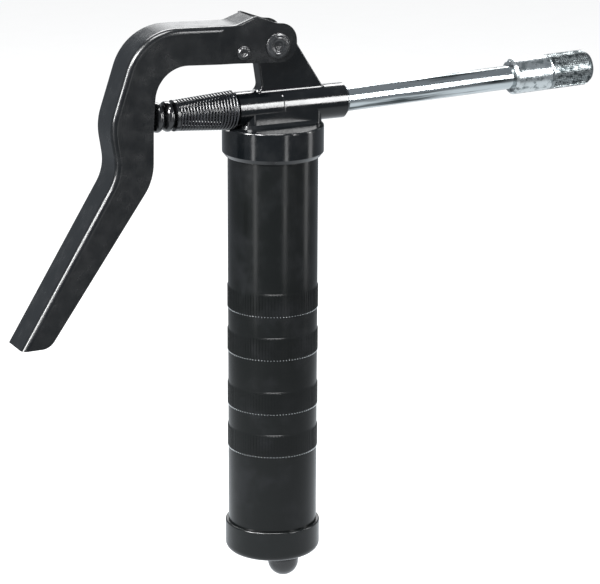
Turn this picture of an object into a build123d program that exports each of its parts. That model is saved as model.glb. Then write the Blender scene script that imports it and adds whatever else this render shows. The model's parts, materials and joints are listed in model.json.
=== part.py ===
"""Mini pistol-grip grease gun: a lever-operated pump head on a knurled barrel.

Frame: millimetres, +Z up along the barrel, +X towards the nozzle, and Y across the gun.
The origin is on the barrel's axis at the middle of the knurled grip.
"""
import os
from math import atan2, cos, degrees, radians, sin

from build123d import *

os.makedirs("parts", exist_ok=True)

# ---------------------------------------------------------------- driving dimensions
barrel_radius = 19.05           # 1 1/2 inch tube
barrel_wall = 1.2
barrel_neck_radius = 18.9       # turned down where it screws into the collar
barrel_top = 100.8
barrel_shoulder = 91.7
barrel_foot = -81.6
band_rise = 0.3                 # the knurling stands this far off the tube
band_root = 0.5                 # how far a band's ring reaches into the tube's wall
band_height = 10.0
band_heights = (31.1, 12.0, -12.0, -31.1)
band_bevel = 0.25

cap_radius = 20.4
cap_foot = -83.6
cap_top = -69.9
cap_floor = 1.6
cap_seat = 0.4                  # between the barrel's foot and the cap's floor
cap_corner = 3.4
cap_lip = 0.6
cap_slot_gap = 0.45             # round the rod in the cap's slot

collar_radius = 21.4
collar_bore = 19.0
collar_foot = 92.0
collar_top = 105.3
collar_roof = 102.8             # underside of the solid end of the collar
collar_bevel = 1.8
collar_bevel_rise = 1.44
collar_rim = 0.8

pump_height = 112.6             # axis of the pump cylinder
pump_radius = 7.5
pump_rear = -17.8
pump_front = 33.2
pump_bevel = 1.6
spigot_radius = 6.4             # centres the large end of the return spring
spigot_length = 4.5
spring_relief = 8.7             # scallop in the collar's rim under the spring's large end
bore_radius = 3.05
seat_plane = 18.0               # where the pump bore opens into the outlet
outlet_radius = 4.4
feed_radius = 2.4               # grease way from the barrel up to the pump bore
feed_place = 12.0
packing_radius = 4.45           # ring in the mouth of the pump bore
packing_length = 2.4

saddle_rear = -15.0
saddle_front = 20.5
saddle_half_width = 7.4
saddle_corner = 4.0
saddle_root = 1.5               # the saddle spreads by this much into the collar's top
saddle_splay = 32.0             # degrees that the spread slopes
overlap = 1.0                   # how far joined shapes reach into each other
through = 20.0                  # long enough to cut right through

pivot_place = -1.6
pivot_height = 139.6
pivot_hole = 3.55
pivot_shank = 3.5
ear_half_width = 3.4
ear_rise = 8.2                  # of the ear's flat top over the pivot
ear_rear = -8.7
ear_front = 26.3                # where its sloping front meets the pump's axis
ear_root = 1.6                  # fillet where the ear grows out of the pump cylinder
ear_edge = 0.6                  # rounding of the ear's own edges
horn_rear = -17.0               # the lever's bush rests up against this horn of the ear
horn_height = 141.0
horn_depth = 2.2
boss_radius = 6.6               # spaces the lever's cheeks off the ear
boss_half_width = 6.0

lever_arm = pivot_height - pump_height
lever_travel = 16.5             # degrees, at full squeeze
sheet = 1.8
handle_half_width = 9.0
cheek_half_width = 8.2
joggle_rear = -27.5
joggle_front = -21.0
bend_radius = 2.4               # outside of the bend from the web to the flanges
web_end = -12.3                 # the web stops here and leaves the cheeks open at the top

rivet_place = -17.2
rivet_height = 137.8
rivet_shank = 1.9
rivet_head_radius = 2.9
rivet_head_height = 1.0
rivet_edge = 0.4
pivot_head_radius = 5.3
pivot_head_height = 1.3
pivot_edge = 0.5
dimple_radius = 1.2
dimple_depth = 0.7
bush_radius = 2.9

plunger_radius = 3.0
plunger_end = -69.6             # the end that the lever pushes
plunger_nose = 8.2
plunger_tail_radius = 3.6
tail_edge = 0.6
bead_radius = 6.4
bead_places = (-53.0, -48.2)
bead_rim = 4.4
bead_length = 3.9
push_gap = 0.3                  # between the plunger's end and the wear strip
strip_half_width = 5.2
strip_steps = 10                # points along its curve
strip_back = -80.0              # behind the web, which trims it

washer_place = -45.6
washer_length = 1.2
washer_radius = 6.5
spring_wire = 1.0
spring_small_radius = 6.0       # to the middle of the wire
spring_large_radius = 7.8
spring_turns = 19

outlet_tilt = 2.0               # degrees that the delivery tube rises
outlet_place = 33.2
tube_radius = 5.15
tube_bore = 3.2
tube_in = -6.5
tube_out = 91.0

ball_radius = 3.6
check_radius = 2.9              # to the middle of the wire
check_wire = 0.6
check_turns = 4
check_start_gap = 2.3           # from the ball's middle to the spring's first coil
spring_gap = 0.3                # left free at a spring's far end

coupler_start = 80.6
coupler_joint = 98.6
coupler_end = 119.4
coupler_radius = 7.7
coupler_bevel = 1.0
joint_bevel = 0.35              # either side of the joint between the body and the sleeve
coupler_thread = 6.2
thread_length = 7.0
coupler_chamber = 5.1
coupler_floor = 92.8
coupler_bore = 2.0
coupler_coil = 4.0
coupler_wire = 0.7
coupler_turns = 3
coupler_nose_bevel = 1.4
piston_start = 96.4
piston_end = 104.2
piston_fit = 0.08
piston_bore = 1.5
seal_radius = 4.4
seal_length = 2.6
jaw_start = 107.4
jaw_end = 118.2
jaw_radius = 5.7
jaw_bore = 3.35
jaw_count = 4
jaw_slit = 0.8
nose_bore = 4.6

rod_place = 5.2                 # the rod sits in the side of the cap's slot
rod_radius = 2.4
knob_radius = 6.7
knob_shoulder = 4.2
knob_crown = 7.2                # radius of the arc from its shoulder to its waist
knob_gap = 0.4                  # under the cap
follower_radius = 17.75
follower_wall = 1.8
follower_floor = 3.0
follower_height = 9.0
follower_top = 98.5
plate_height = 1.5
nut_radius = 4.6
nut_height = 3.2
rod_end = 0.8                   # the rod stands proud of its nut
rod_in_knob = 1.0
follower_wire = 1.6
follower_coil = 14.5
follower_turns = 11
gasket_inner = 15.4
gasket_outer = 18.7

barrel_inner = barrel_radius - barrel_wall


# ---------------------------------------------------------------- helpers
def disc(plane, radius, length, mode=Mode.ADD):
    """Add (or cut) a round bar of the given length that starts on the plane."""
    with BuildSketch(plane) as section:
        Circle(radius)
    extrude(section.sketch, amount=length, mode=mode)


def level(height):
    """A horizontal plane at the given height, looking up."""
    return Plane.XY.offset(height)


def along_pump(place):
    """A plane across the pump's axis at the given X, looking towards the nozzle."""
    return Plane(origin=(place, 0, pump_height), x_dir=(0, 1, 0), z_dir=(1, 0, 0))


def along_tube(distance):
    """A plane across the delivery tube, at a distance along it from the pump's front."""
    rise = radians(outlet_tilt)
    start = Vector(outlet_place, 0, pump_height)
    direction = Vector(cos(rise), 0, sin(rise))
    return Plane(origin=start + direction * distance, x_dir=(0, 1, 0), z_dir=direction)


def coil(plane, radius, wire, turns, length, cone=0.0):
    """A round-wire coil that fills a length along a plane's normal, as a new solid."""
    rise = length - wire
    helix = Edge.make_helix(rise / turns, rise, radius, angle=cone)
    helix = plane.offset(wire / 2).from_local_coords(helix)
    section = Plane(origin=helix @ 0, z_dir=helix % 0) * Circle(wire / 2)
    return sweep(section, path=helix, is_frenet=True)


def finish(builder, name):
    """Name a finished piece and write it out."""
    builder.part.label = name
    export_step(builder.part, f"parts/{name}.step")


# ---------------------------------------------------------------- barrel
with BuildPart() as barrel_tube:
    disc(level(barrel_foot), barrel_radius, barrel_shoulder - barrel_foot)
    disc(level(barrel_shoulder), barrel_neck_radius, barrel_top - barrel_shoulder)
    for band in band_heights:
        with BuildSketch(Plane.XZ):
            with BuildLine():
                Polyline(
                    (barrel_radius - band_root, band - band_height / 2),
                    (barrel_radius, band - band_height / 2),
                    (barrel_radius + band_rise, band - band_height / 2 + band_bevel),
                    (barrel_radius + band_rise, band + band_height / 2 - band_bevel),
                    (barrel_radius, band + band_height / 2),
                    (barrel_radius - band_root, band + band_height / 2),
                    close=True,
                )
            make_face()
        revolve(axis=Axis.Z)
    disc(level(barrel_foot), barrel_inner, barrel_top - barrel_foot, Mode.SUBTRACT)
finish(barrel_tube, "barrel_tube")

with BuildPart() as bottom_cap:
    disc(level(cap_foot), cap_radius, cap_top - cap_foot)
    fillet(bottom_cap.edges().group_by(Axis.Z)[0], cap_corner)
    fillet(bottom_cap.edges().group_by(Axis.Z)[-1], cap_lip)
    disc(level(cap_foot + cap_floor + cap_seat), barrel_radius, cap_top - cap_foot, Mode.SUBTRACT)
    with BuildSketch(level(cap_foot)):
        with Locations((rod_place / 2, 0)):
            SlotCenterToCenter(rod_place, 2 * (rod_radius + cap_slot_gap))
    extrude(amount=cap_corner, mode=Mode.SUBTRACT)
finish(bottom_cap, "bottom_cap")

with BuildPart() as barrel_gasket:
    disc(level(barrel_top + 0.1), gasket_outer, collar_roof - barrel_top - 0.2)
    disc(level(barrel_top), gasket_inner, collar_roof - barrel_top, Mode.SUBTRACT)
finish(barrel_gasket, "barrel_gasket")

# ---------------------------------------------------------------- follower and rod
follower_foot = follower_top - follower_height
plate_foot = follower_foot - plate_height
nut_foot = follower_foot + follower_floor

with BuildPart() as follower_cup:
    disc(level(follower_foot), follower_radius, follower_top - follower_foot)
    disc(level(nut_foot), follower_radius - follower_wall, follower_height, Mode.SUBTRACT)
    with BuildSketch(level(follower_foot)):
        with Locations((rod_place, 0)):
            Circle(rod_radius)
    extrude(amount=follower_height, mode=Mode.SUBTRACT)
finish(follower_cup, "follower_cup")

with BuildPart() as follower_plate:
    disc(level(plate_foot), follower_radius - 1.0, plate_height)
    with BuildSketch(level(plate_foot)):
        with Locations((rod_place, 0)):
            Circle(rod_radius)
    extrude(amount=plate_height, mode=Mode.SUBTRACT)
finish(follower_plate, "follower_plate")

with BuildPart() as follower_nut:
    with BuildSketch(level(nut_foot)):
        with Locations((rod_place, 0)):
            RegularPolygon(nut_radius, 6)
            Circle(rod_radius, mode=Mode.SUBTRACT)
    extrude(amount=nut_height)
finish(follower_nut, "follower_nut")

knob_middle = cap_foot - knob_radius - knob_gap
rod_foot = knob_middle - rod_in_knob
with BuildPart() as pull_rod:
    with BuildSketch(level(rod_foot)):
        with Locations((rod_place, 0)):
            Circle(rod_radius)
    extrude(amount=nut_foot + nut_height + rod_end - rod_foot)
finish(pull_rod, "pull_rod")

with BuildPart() as rod_knob:
    with BuildSketch(Plane(origin=(rod_place, 0, knob_middle), x_dir=(1, 0, 0), z_dir=(0, -1, 0))):
        with BuildLine():
            Polyline((0, -knob_radius), (0, knob_radius), (knob_shoulder, knob_radius))
            RadiusArc((knob_shoulder, knob_radius), (knob_radius, 0), knob_crown)
            RadiusArc((knob_radius, 0), (0, -knob_radius), knob_radius)
        make_face()
    revolve(axis=Axis((rod_place, 0, 0), (0, 0, 1)))
    with BuildSketch(level(rod_foot)):
        with Locations((rod_place, 0)):
            Circle(rod_radius)
    extrude(amount=through, mode=Mode.SUBTRACT)
finish(rod_knob, "rod_knob")

spring_foot = cap_foot + cap_floor + cap_seat
follower_winding = coil(level(spring_foot), follower_coil, follower_wire, follower_turns,
                        plate_foot - spring_foot)
with BuildPart() as follower_spring:
    add(follower_winding)
finish(follower_spring, "follower_spring")

# ---------------------------------------------------------------- head casting
ear_foot = pump_height + 6.55   # just under the cylinder's surface at the ear's sides

with BuildPart() as ear_plate:
    with BuildSketch(Plane.XZ):
        with BuildLine():
            FilletPolyline(
                (ear_rear - 4.0, pump_height),
                (ear_rear - 4.0, ear_foot),
                (ear_rear + 2.6, ear_foot),
                (ear_rear - 0.8, horn_height),
                (horn_rear, horn_height),
                (horn_rear, horn_height + horn_depth),
                (ear_rear + 2.0, pivot_height + ear_rise),
                (pivot_place + 5.4, pivot_height + ear_rise),
                (ear_front, pump_height),
                radius=(0.0, 0.0, 3.5, 1.0, 0.6, 0.6, 3.0, 8.0, 0.0),
                close=True,
            )
        make_face()
    extrude(amount=ear_half_width, both=True)
    ear_rims = ear_plate.edges().filter_by(
        lambda edge: abs((edge @ 0.5).Y) > ear_half_width - 0.1 and (edge @ 0.5).Z > ear_foot + 4.0
        or (edge @ 0.5).X > pivot_place + 10.0 and abs((edge @ 0.5).Y) > ear_half_width - 0.1
    )
    fillet(ear_rims, ear_edge)

with BuildPart() as head_casting:
    disc(level(collar_foot), collar_radius, collar_top - collar_foot)
    chamfer(head_casting.edges().group_by(Axis.Z)[0], collar_bevel, collar_bevel_rise)
    fillet(head_casting.edges().group_by(Axis.Z)[-1], collar_rim)
    with BuildSketch(level(collar_top - overlap)):
        with Locations(((saddle_rear + saddle_front) / 2, 0)):
            RectangleRounded(saddle_front - saddle_rear, 2 * saddle_half_width, saddle_corner)
    extrude(amount=pump_height - collar_top + overlap)
    with BuildSketch(level(collar_top - overlap)):
        with Locations(((saddle_rear + saddle_front) / 2 - saddle_root, 0)):
            RectangleRounded(saddle_front - saddle_rear + 2 * saddle_root,
                             2 * (saddle_half_width + saddle_root), saddle_corner + saddle_root)
    extrude(amount=saddle_root + overlap, taper=saddle_splay)
    disc(along_pump(-collar_radius), spring_relief, collar_radius + pump_rear, Mode.SUBTRACT)
    disc(along_pump(pump_rear), pump_radius, pump_front - pump_rear)
    chamfer(head_casting.edges().sort_by(Axis.X)[-1], pump_bevel)
    disc(along_pump(pump_rear - spigot_length), spigot_radius, spigot_length)
    add(ear_plate.part)
    ear_seam = head_casting.edges().filter_by(
        lambda edge: ear_foot < (edge @ 0.5).Z < pump_height + pump_radius + 0.1
        and abs((edge @ 0.5).Y) < ear_half_width + 0.1
        and (edge @ 0.5).X > ear_rear - 4.0
    )
    fillet(ear_seam, ear_root)
    with BuildSketch(Plane.XZ):
        with Locations((pivot_place, pivot_height)):
            Circle(boss_radius)
    extrude(amount=boss_half_width, both=True)
    # hollows: barrel socket, grease way, pump bore, outlet chamber and pivot hole
    disc(level(collar_foot), collar_bore, collar_roof - collar_foot, Mode.SUBTRACT)
    with BuildSketch(level(collar_roof - overlap)):
        with Locations((feed_place, 0)):
            Circle(feed_radius)
    extrude(amount=pump_height - collar_roof + overlap, mode=Mode.SUBTRACT)
    disc(along_pump(pump_rear - spigot_length), bore_radius,
         seat_plane - pump_rear + spigot_length, Mode.SUBTRACT)
    disc(along_pump(seat_plane), outlet_radius, pump_front - seat_plane, Mode.SUBTRACT)
    disc(along_tube(tube_in), tube_radius, through, Mode.SUBTRACT)
    with BuildSketch(Plane.XZ):
        with Locations((pivot_place, pivot_height)):
            Circle(pivot_hole)
    extrude(amount=through, both=True, mode=Mode.SUBTRACT)
    disc(along_pump(pump_rear - spigot_length), packing_radius, packing_length, Mode.SUBTRACT)
finish(head_casting, "head_casting")

with BuildPart() as plunger_packing:
    disc(along_pump(pump_rear - spigot_length), packing_radius, packing_length - 0.1)
    disc(along_pump(pump_rear - spigot_length), bore_radius, packing_length, Mode.SUBTRACT)
finish(plunger_packing, "plunger_packing")

# ---------------------------------------------------------------- outlet check valve
ball_middle = seat_plane + (ball_radius ** 2 - bore_radius ** 2) ** 0.5 + 0.05
with BuildPart() as check_ball:
    with Locations((ball_middle, 0, pump_height)):
        Sphere(ball_radius)
finish(check_ball, "check_ball")

check_start = ball_middle + check_start_gap
check_length = outlet_place + tube_in - check_start - spring_gap
check_winding = coil(along_pump(check_start), check_radius, check_wire, check_turns, check_length)
with BuildPart() as check_spring:
    add(check_winding)
finish(check_spring, "check_spring")

# ---------------------------------------------------------------- delivery tube and coupler
with BuildPart() as delivery_tube:
    disc(along_tube(tube_in), tube_radius, tube_out - tube_in)
    disc(along_tube(tube_in), tube_bore, tube_out - tube_in, Mode.SUBTRACT)
finish(delivery_tube, "delivery_tube")

with BuildPart() as coupler_body:
    disc(along_tube(coupler_start), coupler_radius, coupler_joint - coupler_start)
    chamfer(coupler_body.edges().sort_by(Axis.X)[0], coupler_bevel)
    chamfer(coupler_body.edges().sort_by(Axis.X)[-1], joint_bevel)
    disc(along_tube(coupler_joint), coupler_thread, thread_length)
    disc(along_tube(coupler_start), tube_radius, tube_out - coupler_start, Mode.SUBTRACT)
    disc(along_tube(tube_out - overlap), coupler_bore, through, Mode.SUBTRACT)
    disc(along_tube(coupler_floor), coupler_chamber, through, Mode.SUBTRACT)
finish(coupler_body, "coupler_body")

with BuildPart() as coupler_sleeve:
    disc(along_tube(coupler_joint), coupler_radius, coupler_end - coupler_joint)
    chamfer(coupler_sleeve.edges().sort_by(Axis.X)[-1], coupler_nose_bevel)
    chamfer(coupler_sleeve.edges().sort_by(Axis.X)[0], joint_bevel)
    disc(along_tube(coupler_joint), coupler_thread, thread_length + overlap, Mode.SUBTRACT)
    disc(along_tube(coupler_joint), jaw_radius, jaw_end - coupler_joint, Mode.SUBTRACT)
    disc(along_tube(coupler_joint), nose_bore, 2 * through, Mode.SUBTRACT)
finish(coupler_sleeve, "coupler_sleeve")

with BuildPart() as coupler_jaws:
    disc(along_tube(jaw_start), jaw_radius, jaw_end - jaw_start)
    disc(along_tube(jaw_start), jaw_bore, jaw_end - jaw_start, Mode.SUBTRACT)
    with BuildSketch(along_tube(jaw_start)):
        with PolarLocations(0, jaw_count // 2, angular_range=180):
            Rectangle(4 * jaw_radius, jaw_slit)
    extrude(amount=jaw_end - jaw_start, mode=Mode.SUBTRACT)
finish(coupler_jaws, "coupler_jaws")

with BuildPart() as coupler_piston:
    disc(along_tube(piston_start), coupler_chamber - piston_fit, piston_end - piston_start)
    disc(along_tube(piston_start), piston_bore, through, Mode.SUBTRACT)
finish(coupler_piston, "coupler_piston")

with BuildPart() as coupler_seal:
    disc(along_tube(piston_end), seal_radius, seal_length)
    disc(along_tube(piston_end), piston_bore, seal_length, Mode.SUBTRACT)
finish(coupler_seal, "coupler_seal")

coupler_winding = coil(along_tube(coupler_floor + 0.1), coupler_coil, coupler_wire,
                       coupler_turns, piston_start - coupler_floor - spring_gap)
with BuildPart() as coupler_spring:
    add(coupler_winding)
finish(coupler_spring, "coupler_spring")

# ---------------------------------------------------------------- plunger and return spring
pump_side = Plane(origin=(0, 0, pump_height), x_dir=(1, 0, 0), z_dir=(0, -1, 0))
pump_axis = Axis((0, 0, pump_height), (1, 0, 0))

with BuildPart() as plunger:
    disc(along_pump(plunger_end), plunger_tail_radius, bead_places[0] - plunger_end)
    fillet(plunger.edges().sort_by(Axis.X)[0], tail_edge)
    disc(along_pump(bead_places[0]), plunger_radius, plunger_nose - bead_places[0])
    for bead in bead_places:
        with BuildSketch(pump_side):
            with BuildLine():
                half = bead_length / 2
                Polyline((bead - half, bead_rim), (bead - half, 0), (bead + half, 0),
                         (bead + half, bead_rim))
                ThreePointArc((bead + half, bead_rim), (bead, bead_radius),
                              (bead - half, bead_rim))
            make_face()
        revolve(axis=pump_axis)
finish(plunger, "plunger")

with BuildPart() as spring_washer:
    disc(along_pump(washer_place), washer_radius, washer_length)
    disc(along_pump(washer_place), plunger_radius, washer_length, Mode.SUBTRACT)
finish(spring_washer, "spring_washer")

return_start = washer_place + washer_length
return_length = pump_rear - return_start
return_flare = degrees(atan2(spring_large_radius - spring_small_radius, return_length))
return_winding = coil(along_pump(return_start), spring_small_radius, spring_wire,
                      spring_turns, return_length, return_flare)
with BuildPart() as return_spring:
    add(return_winding)
finish(return_spring, "return_spring")

# ---------------------------------------------------------------- lever
# The outer line is the web, seen from the side, from the tip of the handle to the nose.
web_line = (
    (-116.3, 22.8),             # tip
    (-73.3, 92.4),              # waist, behind the fingers
    (-76.3, 111.5),             # swell opposite the plunger
    (-63.1, 150.7),             # shoulder
    (-20.0, 149.4),             # foot of the crest
    (-11.4, 152.4),             # crest, where the web ends
    (-2.0, 149.0),
    (6.8, 148.2),               # nose over the pivot
    (7.4, 132.2),
)
web_radii = (18.0, 24.0, 23.0, 6.0, 1.0, 8.0, 7.4, 7.6)
free_line = (
    (-55.7, 135.4),             # inside of the shoulder
    (-57.6, 112.0),
    (-57.9, 88.7),              # inside of the waist
    (-104.4, 22.9),             # inside of the tip
)
free_radii = (14.0, 30.0, 22.0, 6.5)

with BuildSketch(Plane.XZ) as lever_side:
    with BuildLine():
        FilletPolyline(*web_line, *free_line, radius=(0.0, *web_radii, *free_radii), close=True)
    make_face()

with BuildLine(Plane.XZ) as web_path:
    FilletPolyline(*web_line[:7], radius=web_radii[:5])

# The open side of the channel: everything in front of this line is free of the web.
mouth_line = (
    (-109.5, 18.0),
    (-66.5, 90.0),
    (-67.0, 112.0),
    (-60.0, 142.0),
    (web_end, 142.0),
    (web_end, 160.0),
    (20.0, 160.0),
    (20.0, 100.0),
    (-50.0, 80.0),
    (-95.0, 10.0),
)
with BuildSketch(Plane.XZ) as lever_mouth:
    with BuildLine():
        Polyline(*mouth_line, close=True)
    make_face()


def cheek_trim(set_in):
    """Narrow the work past the joggle: the cheeks lie closer together than the handle's flanges."""
    cheek_side = (
        (joggle_rear, handle_half_width - set_in),
        (joggle_front, cheek_half_width - set_in),
        (2 * through, cheek_half_width - set_in),
        (2 * through, through),
        (joggle_rear, through),
    )
    with BuildSketch(level(0)) as sides:
        with BuildLine():
            Polyline(*cheek_side, close=True)
        make_face()
        mirror(about=Plane.XZ)
    extrude(sides.sketch, amount=2 * barrel_top, mode=Mode.SUBTRACT)


with BuildPart() as channel_void:
    with BuildSketch(Plane.XZ):
        add(lever_side.sketch)
        offset(amount=-sheet, mode=Mode.REPLACE)
        add(lever_mouth.sketch)
    extrude(amount=handle_half_width - sheet, both=True)
    cheek_trim(sheet)

with BuildPart() as lever_channel:
    with BuildSketch(Plane.XZ):
        add(lever_side.sketch)
        with Locations((web_end, pump_height)):
            Rectangle(4 * through, 2 * pump_height, align=(Align.MIN, Align.CENTER),
                      mode=Mode.SUBTRACT)
    extrude(amount=handle_half_width, both=True)
    bends = lever_channel.edges().filter_by(
        lambda edge: abs((edge @ 0.5).Y) > handle_half_width - 0.1
        and web_path.wire().distance_to(Vector((edge @ 0.5).X, 0, (edge @ 0.5).Z)) < 0.1
    )
    fillet(bends, bend_radius)
    with BuildSketch(Plane.XZ):
        add(lever_side.sketch)
        with Locations((web_end, pump_height)):
            Rectangle(8 * through, 4 * pump_height, align=(Align.MAX, Align.CENTER),
                      mode=Mode.SUBTRACT)
    extrude(amount=handle_half_width, both=True)
    cheek_trim(0.0)
    add(channel_void.part, mode=Mode.SUBTRACT)
    with BuildSketch(Plane.XZ):
        with Locations((pivot_place, pivot_height)):
            Circle(pivot_shank)
        with Locations((rivet_place, rivet_height)):
            Circle(rivet_shank)
    extrude(amount=through, both=True, mode=Mode.SUBTRACT)
finish(lever_channel, "lever_channel")


def push_point(angle):
    """Where the strip meets the plunger's flat end after the lever has turned by an angle.

    The point is given in the lever's own frame, so the points together are the involute of
    a circle about the pivot: the plunger then moves by lever_arm for every radian.
    """
    reach = plunger_end - push_gap - pivot_place + lever_arm * angle
    return (
        pivot_place + reach * cos(angle) - lever_arm * sin(angle),
        pivot_height - reach * sin(angle) - lever_arm * cos(angle),
    )


with BuildPart() as wear_strip:
    with BuildSketch(Plane.XZ):
        with BuildLine():
            turns = [lever_travel * (step / strip_steps * 1.6 - 0.3) for step in range(strip_steps + 1)]
            contact = [push_point(radians(turn)) for turn in turns]
            Spline(*contact)
            Polyline(contact[-1], (strip_back, contact[-1][1]), (strip_back, contact[0][1]),
                     contact[0])
        make_face()
    extrude(amount=strip_half_width, both=True)
    add(channel_void.part, mode=Mode.INTERSECT)
finish(wear_strip, "wear_strip")

with BuildPart() as pivot_rivet:
    disc(Plane(origin=(pivot_place, -cheek_half_width, pivot_height), z_dir=(0, 1, 0)),
         pivot_shank, 2 * cheek_half_width)
    for turn in (-1, 1):
        head = Plane(origin=(pivot_place, turn * cheek_half_width, pivot_height), z_dir=(0, turn, 0))
        disc(head, pivot_head_radius, pivot_head_height)
        fillet(pivot_rivet.edges().sort_by(Axis.Y)[0 if turn < 0 else -1], pivot_edge)
        disc(head.offset(pivot_head_height - dimple_depth), dimple_radius, overlap, Mode.SUBTRACT)
finish(pivot_rivet, "pivot_rivet")

with BuildPart() as stop_rivet:
    disc(Plane(origin=(rivet_place, -cheek_half_width, rivet_height), z_dir=(0, 1, 0)),
         rivet_shank, 2 * cheek_half_width)
    for turn in (-1, 1):
        head = Plane(origin=(rivet_place, turn * cheek_half_width, rivet_height), z_dir=(0, turn, 0))
        disc(head, rivet_head_radius, rivet_head_height)
        fillet(stop_rivet.edges().sort_by(Axis.Y)[0 if turn < 0 else -1], rivet_edge)
finish(stop_rivet, "stop_rivet")

with BuildPart() as stop_bush:
    bush = Plane(origin=(rivet_place, sheet - cheek_half_width, rivet_height), z_dir=(0, 1, 0))
    disc(bush, bush_radius, 2 * (cheek_half_width - sheet))
    disc(bush, rivet_shank, 2 * (cheek_half_width - sheet), Mode.SUBTRACT)
finish(stop_bush, "stop_bush")
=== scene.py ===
"""Looks for a mini pistol-grip grease gun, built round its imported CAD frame.

Sizes are written in millimetres and turned to metres where a mesh is made.
+Z is up along the barrel, +X runs towards the nozzle and -Y is the near side.
"""

from __future__ import annotations

import json
import logging
import math
from dataclasses import dataclass, field
from enum import Enum
from typing import Any, Callable, Sequence

import bmesh
import bpy
from mathutils import Matrix, Vector

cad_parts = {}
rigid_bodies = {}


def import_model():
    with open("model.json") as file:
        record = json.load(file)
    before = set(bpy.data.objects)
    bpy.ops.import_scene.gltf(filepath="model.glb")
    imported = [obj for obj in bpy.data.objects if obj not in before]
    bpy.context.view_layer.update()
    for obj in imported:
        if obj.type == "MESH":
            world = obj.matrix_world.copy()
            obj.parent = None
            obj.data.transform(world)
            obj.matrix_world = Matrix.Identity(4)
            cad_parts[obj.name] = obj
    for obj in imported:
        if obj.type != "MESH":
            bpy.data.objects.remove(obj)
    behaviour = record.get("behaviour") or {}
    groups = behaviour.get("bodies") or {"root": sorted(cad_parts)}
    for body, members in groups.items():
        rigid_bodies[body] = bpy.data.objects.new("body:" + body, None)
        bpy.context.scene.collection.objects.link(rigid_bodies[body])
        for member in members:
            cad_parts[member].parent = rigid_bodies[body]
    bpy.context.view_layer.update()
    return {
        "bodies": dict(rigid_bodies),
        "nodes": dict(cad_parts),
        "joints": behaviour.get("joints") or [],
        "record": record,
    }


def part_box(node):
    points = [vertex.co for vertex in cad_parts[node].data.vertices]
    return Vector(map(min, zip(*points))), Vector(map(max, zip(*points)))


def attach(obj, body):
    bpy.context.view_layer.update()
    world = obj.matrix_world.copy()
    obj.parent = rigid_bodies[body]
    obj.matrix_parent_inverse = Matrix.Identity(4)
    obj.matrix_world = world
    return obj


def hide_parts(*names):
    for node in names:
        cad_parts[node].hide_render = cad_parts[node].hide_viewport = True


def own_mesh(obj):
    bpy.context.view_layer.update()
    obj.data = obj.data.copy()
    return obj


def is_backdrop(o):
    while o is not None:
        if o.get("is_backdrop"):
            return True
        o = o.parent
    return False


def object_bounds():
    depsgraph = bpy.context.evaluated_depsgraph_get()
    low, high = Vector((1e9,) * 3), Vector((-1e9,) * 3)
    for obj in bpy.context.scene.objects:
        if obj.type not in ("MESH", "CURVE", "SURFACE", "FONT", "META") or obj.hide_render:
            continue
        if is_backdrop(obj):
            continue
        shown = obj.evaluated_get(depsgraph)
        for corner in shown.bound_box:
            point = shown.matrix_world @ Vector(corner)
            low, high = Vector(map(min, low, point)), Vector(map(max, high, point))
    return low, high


LOG = logging.getLogger("grease_gun")
MM = 0.001
# How far the pull rod draws out of the bottom cap, and the lever pushes the plunger, in metres.
ROD_TRAVEL = 0.115

Tree = bpy.types.NodeTree
Socket = bpy.types.NodeSocket
Sockets = dict[str, Socket]

FRAME: dict[str, Any] = {}


# ------------------------------------------------------------------ small tools
def linear(code: str) -> tuple[float, float, float, float]:
    """Turn an sRGB hex colour into the linear colour that a shader takes.

    Args:
        code: a colour such as "#1a1b1c".

    Returns:
        Red, green, blue and an alpha of 1, all linear.
    """
    parts = [int(code[i : i + 2], 16) / 255 for i in (1, 3, 5)]
    r, g, b = (p / 12.92 if p <= 0.04045 else ((p + 0.055) / 1.055) ** 2.4 for p in parts)
    return (r, g, b, 1.0)


def add_node(
    tree: Tree, kind: str, inputs: dict[Any, Any] | None = None, **settings: Any
) -> bpy.types.Node:
    """Add a node with its settings, its values and the links into it.

    Args:
        tree: the shader or geometry tree.
        kind: Blender's name for the node's type.
        inputs: socket name or number, with a plain value or an output socket to link.
        **settings: properties of the node itself.

    Returns:
        The new node.
    """
    node = tree.nodes.new(kind)
    for name, value in settings.items():
        setattr(node, name, value)
    for key, value in (inputs or {}).items():
        if isinstance(value, bpy.types.NodeSocket):
            tree.links.new(value, node.inputs[key])
        else:
            node.inputs[key].default_value = value
    return node


def new_material(name: str) -> tuple[bpy.types.Material, Tree]:
    """Start a material with nothing in its tree.

    Args:
        name: the material's name.

    Returns:
        The material and its empty tree.
    """
    material = bpy.data.materials.new(name)
    material.use_nodes = True
    material.node_tree.nodes.clear()
    return material, material.node_tree


def new_piece(
    name: str, mesh: bpy.types.Mesh, material: bpy.types.Material, smooth_under: float = 32.0
) -> bpy.types.Object:
    """Put a finished mesh in the scene as a piece at the origin.

    Args:
        name: the piece's name.
        mesh: its mesh, in metres in the shared frame.
        material: its only finish.
        smooth_under: edges flatter than this many degrees are shaded smooth.

    Returns:
        The new object.
    """
    mesh.name = name
    mesh.materials.clear()
    mesh.materials.append(material)
    mesh.shade_smooth()
    mesh.set_sharp_from_angle(angle=math.radians(smooth_under))
    piece = bpy.data.objects.new(name, mesh)
    bpy.context.scene.collection.objects.link(piece)
    LOG.info("piece %s: %d faces", name, len(mesh.polygons))
    return piece


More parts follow.
